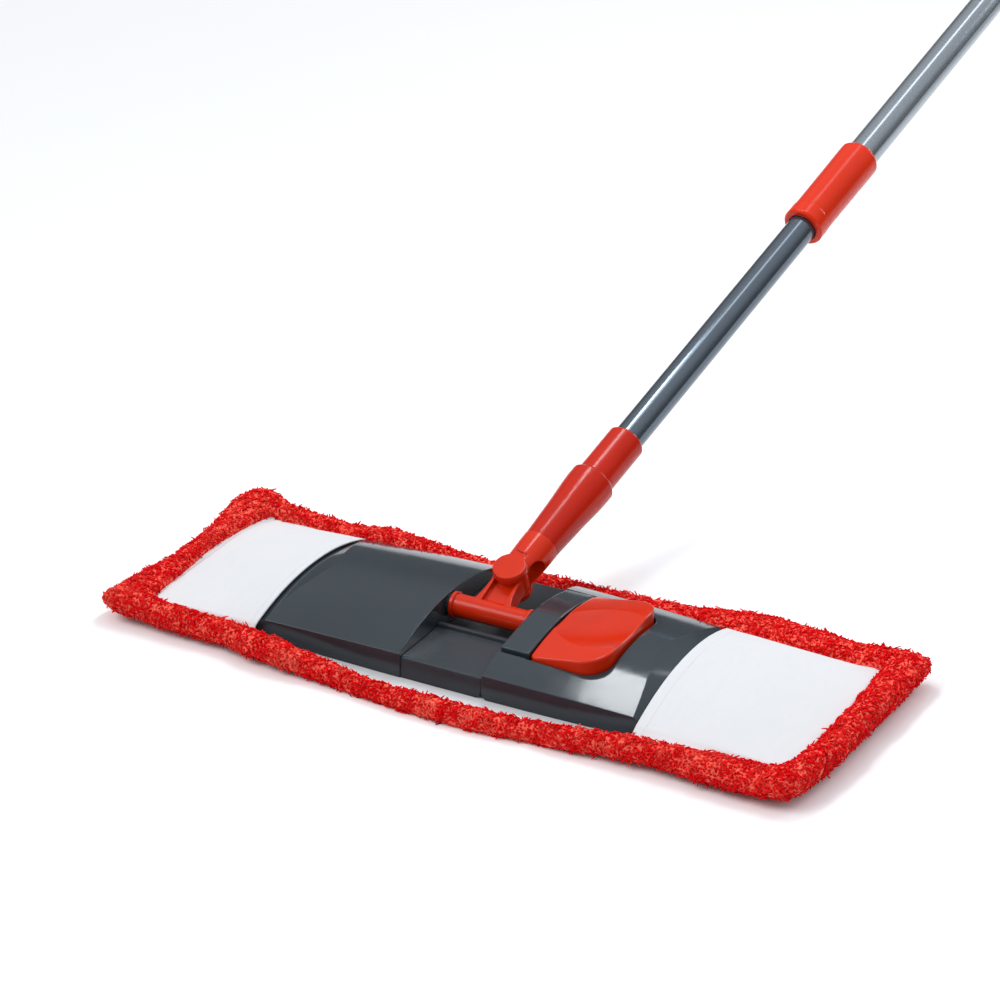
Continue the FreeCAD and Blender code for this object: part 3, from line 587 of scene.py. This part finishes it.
def pile_mesh():
    """The pile as one closed body: sole, border and the flat lid that the cloth lies on."""
    section = through(BORDER * (BORDER_SPAN, 1.0), BORDER_RINGS) / (BORDER_SPAN, 1.0)
    sole = [in_field(s, SOLE_HEIGHT) for s in np.linspace(1.0, 0.04, SOLE_RINGS)]
    border = [in_band(s, h * MM) for s, h in section]
    lid = [in_field(s, LID_HEIGHT) for s in LID_SHARES]
    points = np.concatenate(sole + border + lid)
    faces = ring_faces(SOLE_RINGS + BORDER_RINGS + len(LID_SHARES), LOOP)
    return points, faces


def fluffed(points):
    """Makes the smooth pile uneven: slow waves along the border, clumps, and curls."""
    outer = smoothstep(np.abs(points[:, 1]), 0.055, 0.075)
    outer = np.clip(outer + smoothstep(np.abs(points[:, 0]), 0.19, 0.215), 0.0, 1.0)
    away = points[:, :2] - spine(points[:, :2])
    away /= np.maximum(np.linalg.norm(away, axis=1), 1e-6)[:, None]
    low = rough_field(points, 26.0, 1) * 1.5 * MM + rough_field(points, 80.0, 2) * 0.8 * MM
    puff = rough_field(points, 34.0, 3) * 0.9 * MM + rough_field(points, 110.0, 4) * 0.7 * MM
    curls = np.abs(rough_field(points, 300.0, 5)) * 1.1 * MM
    curls = curls + rough_field(points, 620.0, 6) * 0.35 * MM
    high = np.clip(points[:, 2] / (6.0 * MM), 0.0, 1.0)
    out = points.copy()
    out[:, :2] += away * ((low * (0.35 + 0.65 * high) + curls * 0.6) * outer)[:, None]
    out[:, 2] += (puff + curls) * outer * high
    sole = (1.0 - np.clip(points[:, 2] / (2.5 * MM), 0.0, 1.0))
    out[:, 2] -= sole * (curls * 1.1 - 0.2 * MM)
    return out


def merged(points, faces, grain=0.01 * MM):
    """Joins points that lie on each other and drops the faces that this closes."""
    _, first, back = np.unique(np.round(points / grain).astype(int), axis=0,
                               return_index=True, return_inverse=True)
    back = back.reshape(-1)
    kept = []
    for face in faces:
        ring = []
        for corner in back[list(face)]:
            if corner not in ring:
                ring.append(int(corner))
        if len(ring) >= 3:
            kept.append(ring)
    return points[first], kept


def quad_frames(points, faces):
    """Centre, outward normal and area of each quad."""
    corners = points[np.array(faces)]
    centre = corners.mean(1)
    cross = np.cross(corners[:, 2] - corners[:, 0], corners[:, 3] - corners[:, 1])
    area = np.linalg.norm(cross, axis=1)
    return centre, cross / np.maximum(area, 1e-12)[:, None], area / 2


def grow_tufts(name, centre, normal, area, count, lengths, radius, lean, seed, material):
    """Short curved three-sided fibre tufts, rooted at random on the given faces."""
    rng = np.random.default_rng(seed)
    pick = rng.choice(len(area), count, p=area / area.sum())
    root = centre[pick] + rng.uniform(-0.5, 0.5, (count, 3)) * MM
    up = normal[pick]

    clump = np.stack([rough_field(root, 95.0, seed + k) for k in range(4)], 1)

    def sideways(pull=0.0):
        free = rng.normal(size=(count, 3)) + pull * clump[:, :3]
        free -= (free * up).sum(1)[:, None] * up
        return free / np.linalg.norm(free, axis=1)[:, None]

    tilt = np.radians(rng.uniform(*lean, count))[:, None]
    heading = np.cos(tilt) * up + np.sin(tilt) * sideways(6.0)
    bend = sideways() * rng.uniform(0.5, 1.5, (count, 1)) - up * 0.55
    length = rng.uniform(*lengths, (count, 1)) * MM
    across = np.cross(heading, sideways())
    across /= np.linalg.norm(across, axis=1)[:, None]
    third = np.cross(heading, across)
    points, tips = [], []
    root = root - up * 0.5 * MM
    for along, share in ((0.0, 1.0), (0.45, 1.0), (0.86, 0.85)):
        middle = root + heading * length * along + bend * length * along ** 2 * 0.55
        for k in range(3):
            angle = 2 * math.pi * k / 3
            spread = across * math.cos(angle) + third * math.sin(angle)
            points.append(middle + spread * radius * MM * share)
            tips.append(along)
    points.append(root + heading * length + bend * length * 0.55)
    tips.append(1.0)
    per = len(points)
    points = np.stack(points, 1).reshape(-1, 3)
    points[:, 2] = np.maximum(points[:, 2], 0.15 * MM)
    one = []
    for level in (0, 3):
        for k in range(3):
            n = (k + 1) % 3
            one.append((level + k, level + n, level + 3 + n, level + 3 + k))
    one += [(6 + k, 6 + (k + 1) % 3, 9) for k in range(3)]
    faces = [tuple(i * per + v for v in face) for i in range(count) for face in one]
    piece = add_piece(name, points, faces, material, "pile")
    set_floats(piece, "tip", np.tile(tips, count))
    tone = np.clip(0.55 * rng.random(count) + 0.9 * clump[:, 3] + 0.22, 0.0, 1.0)
    set_floats(piece, "tone", np.repeat(tone, per))
    return piece


def bend_with_pad(piece):
    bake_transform(piece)


def build_pile(ground, fibre):
    """The pile and its tufts: two groups on the border and one on the sole."""
    points, faces = pile_mesh()
    points = raised(fluffed(points))
    points[:, 2] = np.maximum(points[:, 2], 0.0)
    centre, normal, area = quad_frames(points, faces)
    ring = np.arange(len(faces)) // LOOP
    side = (ring >= SOLE_RINGS + 4) & (ring < SOLE_RINGS + BORDER_RINGS - 3)
    sole = ring < SOLE_RINGS + 4
    # The tufts grow outwards, so the normals must point away from the middle of the pad.
    outward = normal[side][:, :2] * (centre[side][:, :2] - spine(centre[side][:, :2]))
    if outward[:, 0].sum() + outward[:, 1].sum() < 0:
        normal = -normal
    solid = merged(points, faces)
    pile = add_piece("pad_pile", *solid, ground, "pile")
    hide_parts("pile_left", "pile_right")
    front = side & (centre[:, 1] < 0)
    back = side & (centre[:, 1] >= 0)
    made = [pile]
    for name, where, count, lengths, radius, lean, seed in (
            ("tufts_front", front, 12500, (2.0, 4.0), 0.55, (35, 85), 11),
            ("tufts_back", back, 12500, (2.0, 4.0), 0.55, (35, 85), 12),
            ("tufts_sole", sole, 7000, (2.5, 4.0), 0.7, (50, 80), 13)):
        made.append(grow_tufts(name, centre[where], normal[where], area[where], count,
                               lengths, radius, lean, seed, fibre))
    return made


def build_backing(cloth):
    """The white base cloth, tucked under the border all round."""
    rings = [in_band(0.8, CLOTH_TOP - 0.4 * MM), in_band(0.92, CLOTH_TOP)]
    rings += [in_field(s, CLOTH_TOP) for s in CLOTH_SHARES]
    top = np.stack(rings, 0)
    top[..., 2] += (rough_field(top.reshape(-1, 3), 18.0, 21) * 0.15 * MM).reshape(top.shape[:2])
    count = len(rings)
    under = top.copy()
    under[..., 2] -= 1.1 * MM
    points = np.concatenate([top.reshape(-1, 3), under.reshape(-1, 3)])
    faces = ring_faces(count, LOOP)
    faces += [tuple(reversed(face)) for face in ring_faces(count, LOOP, count * LOOP)]
    last = (count - 1) * LOOP
    for i in range(LOOP):
        j = (i + 1) % LOOP
        faces.append((j, i, count * LOOP + i, count * LOOP + j))
        faces.append((last + i, last + j, last + count * LOOP + j, last + count * LOOP + i))
    return add_piece("pad_backing", raised(points), faces, cloth, "cloth")


def follow_edge(x, loop, side):
    """Half width of a loop at each x, in front (-1) or behind (1)."""
    edge = loop[loop[:, 1] * side > 0.0]
    edge = edge[np.argsort(edge[:, 0])]
    return np.interp(x, edge[:, 0], np.abs(edge[:, 1]))


POCKET_OVERLAP, POCKET_PAST_INNER = 2.5 * MM, 2 * MM
MOUTH_EDGE_Z, END_CROWN_Z, END_EDGE_Z = 16.4 * MM, 13.4 * MM, 13.0 * MM
SHOULDER_Y, SHOULDER_POWER = 60.8 * MM, 2.1


def pocket_grid(side):
    """Top face of one pocket: rows from its mouth to its closed end, columns from front to back."""
    low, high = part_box("pocket_left" if side < 0 else "pocket_right")
    mouth, end = (high.x, low.x) if side < 0 else (low.x, high.x)
    crown = high.z
    rows, cols = 64, 121
    u = np.linspace(0.0, 1.0, rows)[:, None]
    v = np.linspace(-1.0, 1.0, cols)[None, :]
    x = mouth + (end + side * POCKET_OVERLAP - mouth) * u + 0 * v
    widths = [follow_edge(x[:, 0], INNER, s) + POCKET_PAST_INNER for s in (-1, 1)]
    half = np.where(v < 0, widths[0][:, None], widths[1][:, None])
    y = v * half
    top_z = crown + (END_CROWN_Z - crown) * u
    edge_z = MOUTH_EDGE_Z + (END_EDGE_Z - MOUTH_EDGE_Z) * u
    inside = np.clip(np.abs(y) / SHOULDER_Y, 0.0, 1.0)
    z = top_z - (top_z - edge_z) * inside ** SHOULDER_POWER
    flat = np.stack([x, y, np.full(x.shape, CLOTH_TOP)], 2).reshape(-1, 3)
    base = raised(flat)[:, 2].reshape(x.shape) + 0.5 * MM
    fall = smoothstep(np.abs(y), np.minimum(SHOULDER_Y, half - 4 * MM), half)
    z = z * (1 - fall) + np.minimum(z, base) * fall
    grid = np.stack([x, y, z], 2)
    flat = grid.reshape(-1, 3)
    slack = rough_field(flat, 16.0, 31) * 0.5 * MM + rough_field(flat, 45.0, 32) * 0.18 * MM
    grid[..., 2] += slack.reshape(rows, cols) * np.sin(np.pi * np.clip(u, 0.04, 1.0))
    return grid


def build_pocket(side, cloth):
    """One pocket with a slightly thicker hem at its mouth and a row of stitches."""
    name = "pocket_left" if side < 0 else "pocket_right"
    grid = pocket_grid(side)
    rows, cols = grid.shape[:2]
    u = np.linspace(0.0, 1.0, rows)[:, None] + np.zeros((1, cols))
    hem = 1.0 - smoothstep(u, 0.06, 0.12)
    piece = add_piece(name + "_cloth", *slab(grid, (0.8 + 0.15 * hem) * MM), cloth, "cloth")
    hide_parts(name)
    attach(piece, "plate_left" if side < 0 else "plate_right")
    thread = stitch_row(name + "_stitches", grid, 0.06, cloth)
    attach(thread, "plate_left" if side < 0 else "plate_right")
    return piece, thread


def stitch_row(name, grid, at, cloth):
    """A row of short stitches that follows the grid, a little inside the pocket's mouth."""
    rows = grid.shape[0]
    row = at * (rows - 1)
    low = int(row)
    line = grid[low] + (grid[low + 1] - grid[low]) * (row - low)
    length = np.linalg.norm(np.diff(line, axis=0), axis=1).sum()
    pitch, run, radius = 3.0 * MM, 2.1 * MM, 0.17 * MM
    count = int(length / pitch)
    dense = resampled(line, count * 6 + 1)
    points, faces = [], []
    for s in range(2, count - 2):
        a, b = dense[s * 6], dense[s * 6 + 6]
        ahead = (b - a) / np.linalg.norm(b - a)
        across = np.cross(ahead, (0.0, 0.0, 1.0))
        across /= np.linalg.norm(across)
        up = np.cross(across, ahead)
        start = len(points)
        stations = ((0.0, -0.2, 0.5), (0.25, 0.06, 1.0), (0.75, 0.06, 1.0), (1.0, -0.2, 0.5))
        for t, lift, share in stations:
            middle = a + ahead * run * t + up * lift * MM
            for k in range(6):
                angle = math.pi * k / 3
                spread = across * math.cos(angle) + up * math.sin(angle)
                points.append(middle + spread * radius * share)
        for level in range(3):
            for k in range(6):
                p, q = start + level * 6 + k, start + level * 6 + (k + 1) % 6
                faces.append((p, q, q + 6, p + 6))
        faces.append(tuple(start + k for k in reversed(range(6))))
        faces.append(tuple(start + 18 + k for k in range(6)))
    return add_piece(name, points, faces, cloth, "cloth")


# ---- pedal spring ---------------------------------------------------------------------
def build_spring(finish):
    """The pedal's return spring: a steel copy of the CAD coil, carried by the right plate."""
    coil = bpy.data.objects.new("pedal_return_coil", NODES["pedal_spring"].data.copy())
    coil.data.materials.clear()
    coil.data.materials.append(finish)
    bpy.context.scene.collection.objects.link(coil)
    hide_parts("pedal_spring")
    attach(coil, "plate_right")
    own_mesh(coil)


# ---- scene ----------------------------------------------------------------------------
FLOOR_HALF, FLOOR_Z = 40.0, -0.2 * MM


def build_floor():
    corners = ((-1, -1), (1, -1), (1, 1), (-1, 1))
    points = [(x * FLOOR_HALF, y * FLOOR_HALF, FLOOR_Z) for x, y in corners]
    mesh = bpy.data.meshes.new("floor")
    mesh.from_pydata(points, [], [(0, 1, 2, 3)])
    f = Finish("floor_paper", (0.97, 0.97, 0.97), 0.9)
    mesh.materials.append(f.done(f.ramp(f.noise(3.0), [(0.3, (0.965,) * 3), (0.7, (0.975,) * 3)])))
    floor = bpy.data.objects.new("floor", mesh)
    bpy.context.scene.collection.objects.link(floor)


def dress(materials):
    """Gives every CAD node that stays in view its finish."""
    for finish, names in materials:
        for name in names:
            for slot in NODES[name].material_slots:
                slot.material = finish


add_camera()
add_studio()
build_floor()

charcoal = (0.026, 0.035, 0.042)
shell = moulded("charcoal_shell", charcoal, 0.11, radius=0.9 * MM, grain=0.01,
                Specular_IOR_Level=0.4)
inner = moulded("charcoal_inner", (0.026, 0.033, 0.040), 0.3, grain=0.05,
                Specular_IOR_Level=0.35)
red = moulded("red_gloss", (0.57, 0.021, 0.001), 0.18, edge=1.15, radius=1.0 * MM, grain=0.01,
              Specular_IOR_Level=0.28)
deep_red = moulded("red_deep", (0.45, 0.012, 0.001), 0.2, edge=1.15, radius=1.0 * MM, grain=0.01,
                   Specular_IOR_Level=0.24)
tube = painted_tube("tube_paint", (0.115, 0.140, 0.168), 0.15)
# Lighter copy of the same tube paint for the upper tube: a painted reflection of the brighter light
# it catches higher up.
tube_painted_lighter = painted_tube("tube_paint_painted_light", (0.28, 0.31, 0.34), 0.15)
steel = brushed("brushed_steel", (0.62, 0.62, 0.63), 0.3)
guts = moulded("matte_nylon", (0.20, 0.21, 0.22), 0.55)
rubber = soft_rubber("grip_rubber", (0.022, 0.026, 0.030))
cloth = woven("white_cloth", (0.675, 0.683, 0.695))

screws = [name for name in NODES if name.startswith("screw_")]
dress([
    (shell, ["wing_cover_left", "wing_cover_right"]),
    (inner, ["wing_base_left", "wing_base_right", "hub_block"]),
    (shell, ["axle_bridge"]),
    (red, ["pedal", "yoke", "swivel_fork", "lock_collar", "hanger_cap"]),
    (deep_red, ["handle_socket", "handle_ferrule"]),
    (tube, ["lower_tube"]),
    (tube_painted_lighter, ["upper_tube"]),
    (steel, ["axle_rod", "fold_pin_front", "fold_pin_back", "pedal_pin", "pedal_spring",
             "swivel_pin"] + screws),
    (guts, ["tube_plug", "collet", "tube_bush"]),
    (rubber, ["grip"]),
])

pile_parts = build_pile(pile_ground("pile_ground"), pile_tufts("pile_fibre"))
backing = build_backing(cloth)
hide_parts("backing_left", "backing_right")
for piece in pile_parts + [backing]:
    bend_with_pad(piece)
pockets = [build_pocket(side, cloth) for side in (-1, 1)]
build_spring(steel)

bpy.context.view_layer.update()
